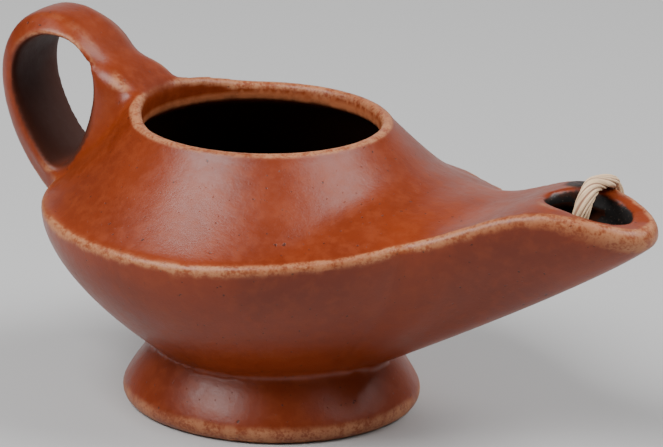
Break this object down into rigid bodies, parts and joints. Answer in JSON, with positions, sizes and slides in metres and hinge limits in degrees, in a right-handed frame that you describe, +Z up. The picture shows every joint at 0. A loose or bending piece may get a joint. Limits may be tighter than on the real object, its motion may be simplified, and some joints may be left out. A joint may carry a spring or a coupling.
{
  "type": "oil lamp",
  "caption": "Roman-style pottery oil lamp in glazed terracotta, with an open mouth, a foot, a ring handle, and a twisted cotton wick in its spout.",
  "frame": {"origin": "centre of the foot's underside", "axes": "+X along the lamp, towards the spout's tip; +Z up, out of the mouth; +Y to the left of the spout"},
  "size_m": [0.1377, 0.086, 0.0696],
  "materials": {
    "clay": "satin glaze, worn to pale clay along the edges",
    "cotton": "matt twisted cotton"
  },
  "bodies": {
    "root": {"lamp_body": "clay", "wick": "cotton"}
  },
  "joints": []
}
